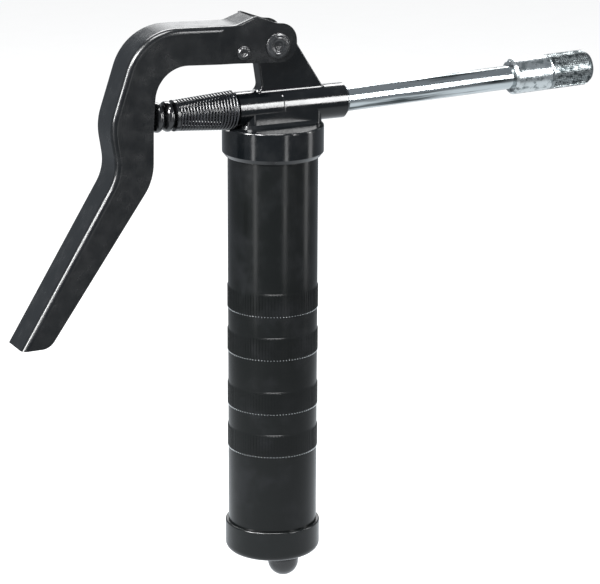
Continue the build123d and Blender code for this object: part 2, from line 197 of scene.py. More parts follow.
def lathe(
    name: str, profile: Sequence[tuple[float, float]], frame: Matrix, steps: int = 128
) -> bpy.types.Mesh:
    """Turn a closed outline about an axis.

    Args:
        name: the mesh's name.
        profile: (radius, height) points in mm round the outline; radius 0 points lie on the axis.
        frame: places the turned shape, whose axis is the frame's own Z, in metres.
        steps: faces round the axis.

    Returns:
        A closed mesh with its faces pointing outwards.
    """
    work = bmesh.new()
    rings = []
    for radius, height in profile:
        if radius < 1e-6:
            rings.append([work.verts.new((0, 0, height * MM))] * steps)
        else:
            turns = (2 * math.pi * k / steps for k in range(steps))
            places = (
                (radius * MM * math.cos(t), radius * MM * math.sin(t), height * MM) for t in turns
            )
            rings.append([work.verts.new(place) for place in places])
    for here, after in zip(rings, rings[1:] + rings[:1]):
        for k in range(steps):
            n = (k + 1) % steps
            corners = list(dict.fromkeys((here[k], here[n], after[n], after[k])))
            if len(corners) > 2:
                work.faces.new(corners)
    bmesh.ops.remove_doubles(work, verts=work.verts, dist=1e-7)
    bmesh.ops.recalc_face_normals(work, faces=work.faces)
    work.transform(frame)
    mesh = bpy.data.meshes.new(name)
    work.to_mesh(mesh)
    work.free()
    return mesh


def rounded(
    corners: Sequence[tuple[float, float, float]], steps: int = 5
) -> list[tuple[float, float]]:
    """Round the corners of a closed outline.

    Args:
        corners: (x, y, radius) in mm, in order round the outline.
        steps: pieces in each rounded corner.

    Returns:
        The outline's points.
    """
    points: list[tuple[float, float]] = []
    count = len(corners)
    for i, (x, y, radius) in enumerate(corners):
        here = Vector((x, y))
        before = Vector(corners[i - 1][:2]) - here
        after = Vector(corners[(i + 1) % count][:2]) - here
        if radius <= 0:
            points.append((x, y))
            continue
        cut = min(radius, before.length * 0.5, after.length * 0.5)
        start, end = here + before.normalized() * cut, here + after.normalized() * cut
        for k in range(steps + 1):
            t = k / steps
            p = start * (1 - t) ** 2 + here * 2 * t * (1 - t) + end * t**2
            points.append((p.x, p.y))
    return points


def axis_frame(start: Vector, direction: Vector) -> Matrix:
    """A matrix whose Z runs along a direction from a start point, in metres.

    Args:
        start: the origin.
        direction: the new Z axis.

    Returns:
        The 4 x 4 matrix.
    """
    z = direction.normalized()
    y = Vector((0, 1, 0)) if abs(z.y) < 0.9 else Vector((1, 0, 0))
    x = y.cross(z).normalized()
    y = z.cross(x)
    turn = Matrix((x, y, z)).transposed().to_4x4()
    return Matrix.Translation(start) @ turn


def dress(node: str, material: bpy.types.Material) -> None:
    """Give a carried-over CAD node its finish.

    Args:
        node: the CAD node's name.
        material: its finish.
    """
    mesh = FRAME["nodes"][node].data
    mesh.materials.clear()
    mesh.materials.append(material)
    LOG.info("node %s dressed in %s", node, material.name)


# ------------------------------------------------------------------ finishes
class Grain(Enum):
    """How a surface's fine relief runs."""

    ORANGE_PEEL = "orange peel"
    CAST = "cast"
    DRAWN = "drawn"
    PLAIN = "plain"


@dataclass(frozen=True)
class Finish:
    """One real finish, made as a procedural material.

    Attributes:
        name: the material's name, for what it is and how it was made.
        colour: its usual sRGB colour.
        wear_and_painted_shade: the sRGB colour of its patches, where it shows wear, dust or
            dullness; on the plated tube, painted reflected shade.
        metallic: 1 for bare or plated metal.
        roughness: the usual roughness.
        spread: how far the roughness wanders either side.
        gloss: the shader's specular level; 0.5 is a plain dielectric.
        coat: weight of a clear gloss layer.
        grain: the kind of relief.
        pitch: size of one grain of the relief, in mm.
        relief: height of the relief, in mm.
        mottle: size of the patches of colour and roughness, in mm.
        patchy: noise levels at which the second colour starts and is full.
        lie: the direction that a drawn finish runs along.
    """

    name: str
    colour: str
    wear_and_painted_shade: str
    metallic: float = 0.0
    roughness: float = 0.4
    spread: float = 0.08
    gloss: float = 0.5
    coat: float = 0.0
    grain: Grain = Grain.PLAIN
    pitch: float = 0.8
    relief: float = 0.02
    mottle: float = 9.0
    patchy: tuple[float, float] = (0.45, 0.75)
    lie: tuple[float, float, float] = (1.0, 0.0, 0.0)

    def build(self) -> bpy.types.Material:
        """Make the material.

        Returns:
            The new material.
        """
        material, tree = new_material(self.name)
        place = add_node(tree, "ShaderNodeTexCoord").outputs["Object"]
        if self.grain is Grain.DRAWN:
            # a scratch is twenty times as long along the lie as across it
            turn = Vector((1, 0, 0)).rotation_difference(Vector(self.lie)).inverted().to_euler()
            square = add_node(tree, "ShaderNodeMapping", {"Vector": place, "Rotation": turn})
            place_grain = add_node(
                tree, "ShaderNodeMapping", {"Vector": square.outputs[0], "Scale": (0.05, 1, 1)}
            ).outputs[0]
        else:
            place_grain = place
        per_mottle, per_grain = 1 / (self.mottle * MM), 1 / (self.pitch * MM)
        patches = add_node(
            tree,
            "ShaderNodeTexNoise",
            {"Vector": place_grain, "Scale": per_mottle, "Detail": 3.0, "Roughness": 0.6},
        )
        grains = add_node(
            tree, "ShaderNodeTexNoise", {"Vector": place_grain, "Scale": per_grain, "Detail": 2.0}
        )
        tint = add_node(
            tree,
            "ShaderNodeMix",
            {
                "Factor": self._ramp(tree, patches.outputs["Fac"], *self.patchy),
                6: linear(self.colour),
                7: linear(self.wear_and_painted_shade),
            },
            data_type="RGBA",
        )
        rough = add_node(
            tree,
            "ShaderNodeMapRange",
            {
                "Value": patches.outputs["Fac"],
                "From Min": 0.3,
                "From Max": 0.7,
                "To Min": self.roughness - self.spread,
                "To Max": self.roughness + self.spread,
            },
        )
        height = grains.outputs["Fac"]
        if self.grain is Grain.CAST:
            # a cast skin is fine grit over broad soft waves
            waves = add_node(
                tree,
                "ShaderNodeTexNoise",
                {"Vector": place, "Scale": 0.28 / (self.pitch * MM), "Detail": 4.0},
            ).outputs["Fac"]
            height = add_node(
                tree, "ShaderNodeMath", {0: height, 1: waves}, operation="ADD"
            ).outputs[0]
        bump = add_node(
            tree,
            "ShaderNodeBump",
            {"Height": height, "Distance": self.relief * MM, "Strength": 1.0},
        )
        shader = add_node(
            tree,
            "ShaderNodeBsdfPrincipled",
            {
                "Base Color": tint.outputs[2],
                "Metallic": self.metallic,
                "Roughness": rough.outputs[0],
                "Normal": bump.outputs[0],
                "Specular IOR Level": self.gloss,
                "Coat Weight": self.coat,
                "Coat Roughness": 0.12,
            },
        )
        add_node(tree, "ShaderNodeOutputMaterial", {"Surface": shader.outputs[0]})
        return material

    @staticmethod
    def _ramp(tree: Tree, value: Socket, low: float, high: float) -> Socket:
        """A smooth step from 0 at low to 1 at high.

        Args:
            tree: the shader tree.
            value: the socket to remap.
            low: where the step starts.
            high: where it ends.

        Returns:
            The stepped value's socket.
        """
        return add_node(
            tree,
            "ShaderNodeMapRange",
            {"Value": value, "From Min": low, "From Max": high},
            interpolation_type="SMOOTHSTEP",
        ).outputs[0]


# Two degrees is the rise of the delivery tube over the pump's axis.
TUBE_LIE = (math.cos(math.radians(2.0)), 0.0, math.sin(math.radians(2.0)))

# Sprayed gloss black on a drawn tube: near-black, soft reflections broken by fine orange peel.
BARREL_PAINT = Finish(
    "sprayed_black_enamel_on_tube", "#060707", "#0b0c0d",
    roughness=0.22, spread=0.05, gloss=0.19, grain=Grain.ORANGE_PEEL, pitch=1.1, relief=0.012,
    mottle=14.0,
)
# The same enamel on a spun cap.
CAP_ENAMEL = Finish(
    "sprayed_black_enamel_on_spun_cap", "#040505", "#090a0b",
    roughness=0.22, spread=0.05, gloss=0.28, grain=Grain.ORANGE_PEEL, pitch=1.0, relief=0.012,
    mottle=12.0,
)
# Enamel flowed over a die casting: glossy, with the casting's waves showing through.
HEAD_ENAMEL = Finish(
    "black_enamel_on_die_casting", "#030405", "#08090a",
    roughness=0.15, spread=0.04, gloss=0.36, grain=Grain.ORANGE_PEEL, pitch=1.8, relief=0.02,
    mottle=9.0,
)
# Enamel on a pressed steel lever: a coarser orange peel, greyer where it is thin.
LEVER_ENAMEL = Finish(
    "black_enamel_on_pressed_steel", "#050607", "#0a0b0c",
    roughness=0.24, spread=0.05, gloss=0.26, grain=Grain.CAST, pitch=0.9, relief=0.02,
    mottle=7.0,
)
# Chemically blackened steel, oiled: dark, with a close sharp sheen.
BLACK_OXIDE = Finish(
    "black_oxide_turned_steel", "#0a0b0c", "#151618",
    roughness=0.17, spread=0.05, gloss=0.5, pitch=0.5, relief=0.004, mottle=5.0,
)
# Oiled and blued spring wire.
SPRING_STEEL = Finish(
    "blued_spring_wire", "#0b0c0e", "#17191c",
    roughness=0.15, gloss=0.45, spread=0.05, pitch=0.4, relief=0.004, mottle=5.0,
)
# Bright zinc over drawn tube: long streaks of light and shade along the draw, painted into its
# colour; the dark second colour is painted reflected shade.
PLATED_TUBE = Finish(
    "bright_zinc_on_drawn_tube", "#aeb4b6", "#2c3335",
    metallic=1.0, roughness=0.16, spread=0.06, grain=Grain.DRAWN, pitch=0.9, relief=0.03,
    mottle=3.4, patchy=(0.47, 0.62), lie=TUBE_LIE,
)
# Zinc over a turned body: clean and fairly bright.
PLATED_COUPLER = Finish(
    "zinc_on_turned_steel", "#b4b9ba", "#656c6e",
    metallic=1.0, roughness=0.22, spread=0.09, pitch=0.5, relief=0.01, mottle=3.2,
    patchy=(0.48, 0.66),
)
# Zinc over knurling: the studs catch small bright points and the roots stay dark.
PLATED_KNURL = Finish(
    "zinc_on_knurled_steel", "#84898a", "#2f3537",
    metallic=1.0, roughness=0.3, spread=0.1, pitch=0.6, relief=0.015, mottle=2.2,
    patchy=(0.42, 0.62),
)
# Near-white mirror steel on the ends of the knurling's ribs: painted highlight dashes, small
# bright points that stand for the floor's reflection.
GLINT_STEEL = Finish(
    "bright_steel_painted_glint", "#f2f4f4", "#d6dadb",
    metallic=1.0, roughness=0.25, spread=0.05, pitch=0.4, relief=0.002, mottle=3.0,
)
# Zinc inside and on small hardware.
ZINC_STEEL = Finish(
    "dull_zinc_on_steel", "#a9adb0", "#7c8184",
    metallic=1.0, roughness=0.34, spread=0.08, pitch=0.6, relief=0.006, mottle=6.0,
)
# Drawn steel rod, oiled: mid grey, dark enough to stand out from what is behind it.
ROD_STEEL = Finish(
    "oiled_drawn_steel_rod", "#54585b", "#3a3e41",
    metallic=1.0, roughness=0.28, spread=0.06, grain=Grain.DRAWN, pitch=0.6, relief=0.01,
    mottle=4.0, lie=(0.0, 0.0, 1.0),
)
# Ground ball-bearing steel.
BEARING_STEEL = Finish(
    "ground_bearing_steel", "#b9bcbf", "#a3a7aa",
    metallic=1.0, roughness=0.1, spread=0.03, pitch=0.5, relief=0.001, mottle=3.0,
)
# Moulded nitrile rubber: dull, faintly pitted.
NITRILE = Finish(
    "moulded_nitrile_rubber", "#101112", "#1c1d1e",
    roughness=0.62, spread=0.08, grain=Grain.CAST, pitch=0.5, relief=0.01, mottle=5.0,
)
# Moulded phenolic knob: smooth and glossy.
KNOB_PLASTIC = Finish(
    "moulded_black_phenolic", "#0a0a0b", "#151516",
    roughness=0.24, spread=0.05, coat=0.3, pitch=1.4, relief=0.01, mottle=7.0,
)


class FinishBook:
    """Builds each finish once and hands it out."""

    def __init__(self) -> None:
        """Start with nothing built."""
        self._made: dict[str, bpy.types.Material] = {}

    def get(self, finish: Finish) -> bpy.types.Material:
        """The material for a finish.

        Args:
            finish: the finish wanted.

        Returns:
            Its material, built the first time it is asked for.
        """
        if finish.name not in self._made:
            self._made[finish.name] = finish.build()
        return self._made[finish.name]


# ------------------------------------------------------------------ geometry nodes
@dataclass
class NodeShape:
    """A Geometry Nodes tree under construction, with named inputs.

    Attributes:
        name: the tree's name.
        sizes: the named sizes with their values, in metres, radians or counts.
    """

    name: str
    sizes: dict[str, float | int] = field(default_factory=dict)

    def make(
        self, body: Callable[[Tree, Sockets], Socket], material: bpy.types.Material
    ) -> bpy.types.Mesh:
        """Build the tree, run it and keep the result as a plain mesh.

        Args:
            body: adds the tree's nodes and returns the geometry to finish with.
            material: set on the whole result.

        Returns:
            The made mesh.
        """
        tree = bpy.data.node_groups.new(self.name, "GeometryNodeTree")
        tree.interface.new_socket("Geometry", in_out="OUTPUT", socket_type="NodeSocketGeometry")
        sockets = {}
        for label, value in self.sizes.items():
            kind = "NodeSocketInt" if isinstance(value, int) else "NodeSocketFloat"
            sockets[label] = tree.interface.new_socket(label, in_out="INPUT", socket_type=kind)
        entry = add_node(tree, "NodeGroupInput")
        shape = body(tree, {label: entry.outputs[label] for label in self.sizes})
        real = add_node(tree, "GeometryNodeRealizeInstances", {0: shape})
        dressed = add_node(
            tree,
            "GeometryNodeSetMaterial",
            {"Geometry": real.outputs[0], "Material": material},
        )
        add_node(tree, "NodeGroupOutput", {0: dressed.outputs[0]})
        holder = bpy.data.objects.new(self.name, bpy.data.meshes.new(self.name + "_empty"))
        bpy.context.scene.collection.objects.link(holder)
        modifier = holder.modifiers.new("shape", "NODES")
        modifier.node_group = tree
        for label, value in self.sizes.items():
            modifier[sockets[label].identifier] = value
        graph = bpy.context.evaluated_depsgraph_get()
        mesh = bpy.data.meshes.new_from_object(holder.evaluated_get(graph), depsgraph=graph)
        holder.modifiers.remove(modifier)
        bpy.data.objects.remove(holder)
        return mesh


@dataclass
class Coil:
    """A round-wire spring, made by Geometry Nodes along a spiral.

    Attributes:
        name: the piece's name.
        start: middle of the wire's first end plane, in metres.
        direction: which way the spring runs.
        small: radius to the wire's middle at the start, in mm.
        large: radius to the wire's middle at the end, in mm.
        wire: wire diameter, in mm.
        length: overall length with the wire's thickness, in mm.
        turns: number of turns.
        steps: points in one turn.
        sides: faces round the wire.
    """

    name: str
    start: Vector
    direction: Vector
    small: float
    large: float
    wire: float
    length: float
    turns: int
    steps: int = 40
    sides: int = 10

    def build(self, material: bpy.types.Material) -> bpy.types.Object:
        """Make the spring.

        Args:
            material: the wire's finish.

        Returns:
            The spring's piece.
        """
        sizes = {
            "Turns": float(self.turns),
            "Steps": self.steps,
            "Small radius": self.small * MM,
            "Large radius": self.large * MM,
            "Rise": (self.length - self.wire) * MM,
            "Wire radius": self.wire / 2 * MM,
            "Sides": self.sides,
        }
        mesh = NodeShape(self.name + "_coil", sizes).make(self._spiral, material)
        first = self.start + self.direction.normalized() * (self.wire / 2 * MM)
        mesh.transform(axis_frame(first, self.direction))
        return new_piece(self.name, mesh, material, smooth_under=60.0)

    @staticmethod
    def _spiral(tree: Tree, size: Sockets) -> Socket:
        """The spiral and the wire swept along it.

        Args:
            tree: the geometry tree.
            size: the tree's named inputs.

        Returns:
            The wire's geometry.
        """
        path = add_node(
            tree,
            "GeometryNodeCurveSpiral",
            {
                "Resolution": size["Steps"],
                "Rotations": size["Turns"],
                "Start Radius": size["Small radius"],
                "End Radius": size["Large radius"],
                "Height": size["Rise"],
            },
        )
        ring = add_node(
            tree,
            "GeometryNodeCurvePrimitiveCircle",
            {"Resolution": size["Sides"], "Radius": size["Wire radius"]},
        )
        return add_node(
            tree,
            "GeometryNodeCurveToMesh",
            {"Curve": path.outputs[0], "Profile Curve": ring.outputs[0], "Fill Caps": True},
        ).outputs[0]


@dataclass
class RibRing:
    """Straight knurling: ribs all round an axis, in one or more bands.

    Attributes:
        name: the piece's name.
        frame: places the rings, whose axis is the frame's own Z.
        centres: height of each band's middle along the axis, in mm.
        radius: radius at the foot of the ribs, in mm.
        crest: height of a rib over its foot, in mm.
        length: length of a rib, in mm.
        count: ribs round the axis.
        fill: a rib's width as a share of the pitch.
        bevel: how far a rib's ends slope, in mm.
        rows: rows of ribs in one band.
        row_step: from one row to the next, in mm.
    """

    name: str
    frame: Matrix
    centres: Sequence[float]
    radius: float
    crest: float
    length: float
    count: int
    fill: float = 0.62
    bevel: float = 0.3
    rows: int = 1
    row_step: float = 0.0

    def build(self, material: bpy.types.Material) -> bpy.types.Object:
        """Make the ribs.

        Args:
            material: their finish.

        Returns:
            The ribs as one piece.
        """
        pitch = 2 * math.pi * self.radius / self.count
        sizes = {
            "Ribs": self.count,
            "Foot radius": self.radius * MM,
            "Crest": self.crest * MM,
            "Width": pitch * self.fill * MM,
            "Length": self.length * MM,
            "Slope": self.bevel * MM,
            "Rows": self.rows,
            "Row step": self.row_step * MM,
        }
        LOG.info("%s: rib pitch %.2f mm", self.name, pitch)
        meshes = []
        for number, centre in enumerate(self.centres):
            ring = NodeShape(f"{self.name}_ring_{number}", sizes).make(self._ring, material)
            ring.transform(self.frame @ Matrix.Translation((0, 0, centre * MM)))
            meshes.append(ring)
        work = bmesh.new()
        for ring in meshes:
            work.from_mesh(ring)
            bpy.data.meshes.remove(ring)
        bmesh.ops.recalc_face_normals(work, faces=work.faces)
        mesh = bpy.data.meshes.new(self.name)
        work.to_mesh(mesh)
        work.free()
        return new_piece(self.name, mesh, material, smooth_under=20.0)

    @staticmethod
    def _ring(tree: Tree, size: Sockets) -> Socket:
        """One band of ribs: a bar with sloping sides and ends at every step of a circle.

        Args:
            tree: the geometry tree.
            size: the tree's named inputs.

        Returns:
            The band's geometry.
        """
        deep = add_node(tree, "ShaderNodeMath", {0: size["Crest"], 1: 2.0}, operation="MULTIPLY")
        box = add_node(
            tree,
            "ShaderNodeCombineXYZ",
            {0: deep.outputs[0], 1: size["Width"], 2: size["Length"]},
        )
        bar = add_node(tree, "GeometryNodeMeshCube", {"Size": box.outputs[0]})
        place = add_node(tree, "GeometryNodeInputPosition")
        split = add_node(tree, "ShaderNodeSeparateXYZ", {0: place.outputs[0]})
        # the crest is narrower and shorter than the foot
        top = add_node(
            tree,
            "FunctionNodeCompare",
            {"A": split.outputs[0], "B": 0.0},
            operation="GREATER_THAN",
            data_type="FLOAT",
        )
        half = add_node(tree, "ShaderNodeMath", {0: size["Length"], 1: 0.5}, operation="MULTIPLY")
        short = add_node(
            tree, "ShaderNodeMath", {0: half.outputs[0], 1: size["Slope"]}, operation="SUBTRACT"
        )
        share = add_node(
            tree, "ShaderNodeMath", {0: short.outputs[0], 1: half.outputs[0]}, operation="DIVIDE"
        )
        squeeze = add_node(tree, "ShaderNodeCombineXYZ", {0: 1.0, 1: 0.45, 2: share.outputs[0]})
        slim = add_node(
            tree,
            "ShaderNodeVectorMath",
            {0: place.outputs[0], 1: squeeze.outputs[0]},
            operation="MULTIPLY",
        )
        shaped = add_node(
            tree,
            "GeometryNodeSetPosition",
            {"Geometry": bar.outputs[0], "Selection": top.outputs[0], "Position": slim.outputs[0]},
        )
        circle = add_node(
            tree,
            "GeometryNodeMeshCircle",
            {"Vertices": size["Ribs"], "Radius": size["Foot radius"]},
        )
        spot = add_node(tree, "GeometryNodeInputPosition")
        turned = add_node(
            tree,
            "FunctionNodeAlignRotationToVector",
            {"Vector": spot.outputs[0]},
            axis="X",
            pivot_axis="Z",
        )
        ring = add_node(
            tree,
            "GeometryNodeInstanceOnPoints",
            {
                "Points": circle.outputs[0],
                "Instance": shaped.outputs[0],
                "Rotation": turned.outputs[0],
            },
        )
        shift = add_node(tree, "ShaderNodeCombineXYZ", {2: size["Row step"]})
        line = add_node(
            tree, "GeometryNodeMeshLine", {"Count": size["Rows"], "Offset": shift.outputs[0]}
        )
        return add_node(
            tree,
            "GeometryNodeInstanceOnPoints",
            {"Points": line.outputs[0], "Instance": ring.outputs[0]},
        ).outputs[0]


# ------------------------------------------------------------------ sub-assemblies
@dataclass
class Barrel:
    """The grip: a painted tube with four knurled bands, a bottom cap and a gasket.

    Attributes:
        book: where finishes come from.
        band_centres: middles of the knurled bands, in mm.
        band_height: height of one band, in mm.
        band_rise: how far the ribs stand off the tube, in mm.
        band_root: how far the bottoms of the grooves stand off it, in mm.
        ribs: ribs round the tube, at a pitch of about 1.3 mm.
        wall: thickness of the tube, in mm.
        shoulder: height at which the tube steps in for the head's thread, in mm.
        neck_step: how far it steps in, in mm.
        glint_length: length of the painted highlight dash on the end of a rib, in mm.
        glint_rise: how far that dash stands off the band's crest, in mm.
    """

    book: FinishBook
    band_centres: tuple[float, ...] = (-31.1, -12.0, 12.0, 31.1)
    band_height: float = 10.0
    band_rise: float = 0.3
    band_root: float = 0.1
    ribs: int = 92
    wall: float = 1.2
    shoulder: float = 91.7
    neck_step: float = 0.15
    glint_length: float = 0.55
    glint_rise: float = 0.05

    def build(self) -> None:
        """Make the barrel's pieces and dress its cap and gasket."""
        paint = self.book.get(BARREL_PAINT)
        low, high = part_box("barrel_tube")
        crest = (high.x - low.x) / 2 / MM
        radius = crest - self.band_rise
        groove, neck, bore = radius + self.band_root, radius - self.neck_step, radius - self.wall
        foot, top = low.z / MM, high.z / MM
        half, slope, end_gap = self.band_height / 2, 0.1, 0.2
        corners: list[tuple[float, float, float]] = [(bore, foot, 0.0), (radius, foot, 0.3)]
        for centre in sorted(self.band_centres):
            corners += [
                (radius, centre - half, 0.0),
                (groove, centre - half + slope, 0.0),
                (groove, centre + half - slope, 0.0),
                (radius, centre + half, 0.0),
            ]
        corners += [
            (radius, self.shoulder, 0.2),
            (neck, self.shoulder, 0.0),
            (neck, top, 0.3),
            (bore, top, 0.0),
        ]
        name = "barrel_tube_painted"
        tube = new_piece(name, lathe(name, rounded(corners), Matrix.Identity(4), steps=160), paint)
        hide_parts("barrel_tube")
        rib_rise = self.band_rise - self.band_root
        # a flat crest reaches further out at its edges than in its middle
        edge_room = 0.004
        bands = RibRing(
            "barrel_knurling",
            Matrix.Identity(4),
            self.band_centres,
            groove,
            rib_rise - edge_room,
            self.band_height - 2 * end_gap,
            self.ribs,
        ).build(paint)
        # painted highlight: a near-white steel dash where each rib ends at the foot of its band,
        # standing for the floor's reflection there
        glint_pieces = RibRing(
            "barrel_knurling_glint_dashes",
            Matrix.Identity(4),
            [centre - half + self.glint_length / 2 - slope for centre in self.band_centres],
            groove,
            rib_rise + self.glint_rise,
            self.glint_length,
            self.ribs,
            fill=0.36,
            bevel=0.1,
        ).build(self.book.get(GLINT_STEEL))
        for piece in (tube, bands, glint_pieces):
            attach(piece, "barrel")
        dress("bottom_cap", self.book.get(CAP_ENAMEL))
        dress("barrel_gasket", self.book.get(NITRILE))


@dataclass
class Follower:
    """The follower, its pull rod and knob, and the long spring behind it.

    Attributes:
        book: where finishes come from.
        wire: follower spring's wire, in mm.
        coil: its radius to the wire's middle, in mm.
        turns: its number of turns.
    """

    book: FinishBook
    wire: float = 1.6
    coil: float = 14.5
    turns: int = 11

    def build(self) -> None:
        """Make the spring and dress the rest."""
        low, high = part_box("follower_spring")
        spring = Coil(
            "follower_coil",
            Vector((0, 0, low.z)),
            Vector((0, 0, 1)),
            self.coil,
            self.coil,
            self.wire,
            (high.z - low.z) / MM,
            self.turns,
            steps=56,
        ).build(self.book.get(SPRING_STEEL))
        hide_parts("follower_spring")
        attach(spring, "barrel")
        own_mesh(spring)
        dress("follower_cup", self.book.get(NITRILE))
        dress("follower_plate", self.book.get(ZINC_STEEL))
        dress("follower_nut", self.book.get(ZINC_STEEL))
        dress("pull_rod", self.book.get(ROD_STEEL))
        dress("rod_knob", self.book.get(KNOB_PLASTIC))


@dataclass
class PumpHead:
    """The die-cast head with its packing and outlet valve.

    Attributes:
        book: where finishes come from.
        check_coil: radius to the middle of the valve spring's wire, in mm.
        check_wire: its wire, in mm.
        check_turns: its turns.
        check_keep: how much of its length is left when the ball is off its seat; not used.
        pump_radius: of the pump cylinder, in mm.
        flash_place: where along the cylinder its dies met, in mm.
        flash_width: width of the flash left there, in mm.
        flash_rise: its height off the cylinder, in mm.
        flash_root: how deep its foot reaches into the cylinder, in mm.
    """

    book: FinishBook
    check_coil: float = 2.9
    check_wire: float = 0.6
    check_turns: int = 4
    check_keep: float = 0.74
    pump_radius: float = 7.5
    flash_place: float = 2.0
    flash_width: float = 0.7
    flash_rise: float = 0.14
    flash_root: float = 0.5

    def build(self) -> None:
        """Make the valve spring and dress the castings."""
        low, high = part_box("check_spring")
        middle = (low + high) / 2
        spring = Coil(
            "check_coil",
            Vector((low.x, 0, middle.z)),
            Vector((1, 0, 0)),
            self.check_coil,
            self.check_coil,
            self.check_wire,
            (high.x - low.x) / MM,
            self.check_turns,
        ).build(self.book.get(SPRING_STEEL))
        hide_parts("check_spring")
        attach(spring, "head")
        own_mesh(spring)
        # the flash left round the pump where the casting's dies met
        foot, half = self.pump_radius - self.flash_root, self.flash_width / 2
        line = [
            (foot, -half, 0.0),
            (self.pump_radius, -half, 0.0),
            (self.pump_radius + self.flash_rise, 0.0, 0.0),
            (self.pump_radius, half, 0.0),
            (foot, half, 0.0),
        ]
        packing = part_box("plunger_packing")
        axis = Vector((self.flash_place * MM, 0, (packing[0].z + packing[1].z) / 2))
        name = "head_flash_line"
        ring = lathe(name, rounded(line), axis_frame(axis, Vector((1, 0, 0))), steps=96)
        flash = new_piece(name, ring, self.book.get(HEAD_ENAMEL))
        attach(flash, "head")
        dress("head_casting", self.book.get(HEAD_ENAMEL))
        dress("plunger_packing", self.book.get(NITRILE))
        dress("check_ball", self.book.get(BEARING_STEEL))


@dataclass
class DeliveryLine:
    """The delivery tube and the grease coupler on its end.

    Attributes:
        book: where finishes come from.
        sleeve_radius: outside of the coupler, in mm.
        knurl_count: studs round the sleeve's grip.
        knurl_rows: rows of studs along it.
        knurl_crest: height of a stud, in mm.
        plain_rear: length of the plain ring behind the studs, in mm.
        plain_nose: length of the taper in front of them, in mm.
        thread_radius: bore over the body's thread, in mm.
        thread_depth: how far in from the rear that bore goes, in mm.
        jaw_radius: bore round the jaws, in mm.
        nose_radius: of the mouth, in mm.
        nose_lip: thickness of the lip round the mouth, in mm.
        spring_coil: radius to the middle of the coupler spring's wire, in mm.
        spring_wire: its wire, in mm.
        spring_turns: its turns.
        spring_keep: how much of its length is left when the seal is pressed back; not used.
    """

    book: FinishBook
    sleeve_radius: float = 7.7
    knurl_count: int = 48
    knurl_rows: int = 18
    knurl_crest: float = 0.28
    plain_rear: float = 1.6
    plain_nose: float = 1.8
    thread_radius: float = 6.2
    thread_depth: float = 8.0
    jaw_radius: float = 5.7
    nose_radius: float = 4.6
    nose_lip: float = 1.2
    spring_coil: float = 4.0
    spring_wire: float = 0.7
    spring_turns: int = 3
    spring_keep: float = 0.54

    def build(self) -> None:
        """Make the coupler's spring and dress the rest."""
        low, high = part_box("coupler_spring")
        along = Vector(TUBE_LIE)
        middle = (low + high) / 2
        length = (high.x - low.x - 2 * self.spring_coil * MM * along.z) / MM
        start = middle - along * (length / 2 * MM)
        spring = Coil(
            "coupler_coil",
            start,
            along,
            self.spring_coil,
            self.spring_coil,
            self.spring_wire,
            length,
            self.spring_turns,
        ).build(self.book.get(SPRING_STEEL))
        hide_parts("coupler_spring")
        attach(spring, "head")
        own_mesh(spring)
        dress("delivery_tube", self.book.get(PLATED_TUBE))
        dress("coupler_body", self.book.get(PLATED_COUPLER))
        self._sleeve(along)
        dress("coupler_jaws", self.book.get(BEARING_STEEL))
        dress("coupler_piston", self.book.get(ZINC_STEEL))
        dress("coupler_seal", self.book.get(NITRILE))

    def _sleeve(self, along: Vector) -> None:
        """The coupler's knurled sleeve, bored for its jaws, with rows of studs round it.

        Args:
            along: the tube's direction.
        """
        low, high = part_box("coupler_sleeve")
        rise = Vector((-along.z, 0, along.x)) * (self.sleeve_radius * MM)
        rear = Vector((low.x - rise.x, 0, low.z + rise.z))
        nose = Vector((high.x, 0, high.z - rise.z))
        length = (nose - rear).dot(along) / MM
        root = self.sleeve_radius - self.knurl_crest
        chamfer, margin = 0.35, 0.2
        corners = [
            (self.thread_radius, 0.0, 0.0),
            (self.sleeve_radius - chamfer, 0.0, 0.0),
            (self.sleeve_radius, chamfer, 0.0),
            (self.sleeve_radius, self.plain_rear - 0.3, 0.0),
            (root, self.plain_rear, 0.0),
            (root, length - self.plain_nose, 0.0),
            (root - 1.15, length, 0.25),
            (self.nose_radius, length, 0.3),
            (self.nose_radius, length - self.nose_lip, 0.0),
            (self.jaw_radius, length - self.nose_lip, 0.0),
            (self.jaw_radius, self.thread_depth, 0.0),
            (self.thread_radius, self.thread_depth, 0.0),
        ]
        frame = axis_frame(rear, along)
        finish = self.book.get(PLATED_KNURL)
        name = "coupler_sleeve_turned"
        sleeve = new_piece(name, lathe(name, rounded(corners), frame, steps=96), finish)
        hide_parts("coupler_sleeve")
        step = (length - self.plain_nose - self.plain_rear - 2 * margin) / self.knurl_rows
        studs = RibRing(
            "coupler_knurling",
            frame,
            (self.plain_rear + margin + step / 2,),
            root,
            self.knurl_crest - 0.01,
            step * 0.8,
            self.knurl_count,
            fill=0.7,
            bevel=0.2,
            rows=self.knurl_rows,
            row_step=step,
        ).build(finish)
        for piece in (sleeve, studs):
            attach(piece, "head")


@dataclass
class Plunger:
    """The plunger, its washer and the conical return spring.

    Attributes:
        book: where finishes come from.
        wire: the return spring's wire, in mm.
        small: its radius to the wire's middle at the washer, in mm.
        large: the same at the pump, in mm.
        turns: its number of turns.
    """

    book: FinishBook
    wire: float = 1.0
    small: float = 6.0
    large: float = 7.8
    turns: int = 19

    def build(self) -> None:
        """Make the return spring and dress the rest."""
        low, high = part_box("return_spring")
        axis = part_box("spring_washer")
        height = (axis[0].z + axis[1].z) / 2
        spring = Coil(
            "return_coil",
            Vector((low.x, 0, height)),
            Vector((1, 0, 0)),
            self.small,
            self.large,
            self.wire,
            (high.x - low.x) / MM,
            self.turns,
            steps=48,
            sides=12,
        ).build(self.book.get(SPRING_STEEL))
        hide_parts("return_spring")
        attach(spring, "head")
        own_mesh(spring)
        dress("plunger", self.book.get(BLACK_OXIDE))
        dress("spring_washer", self.book.get(BLACK_OXIDE))


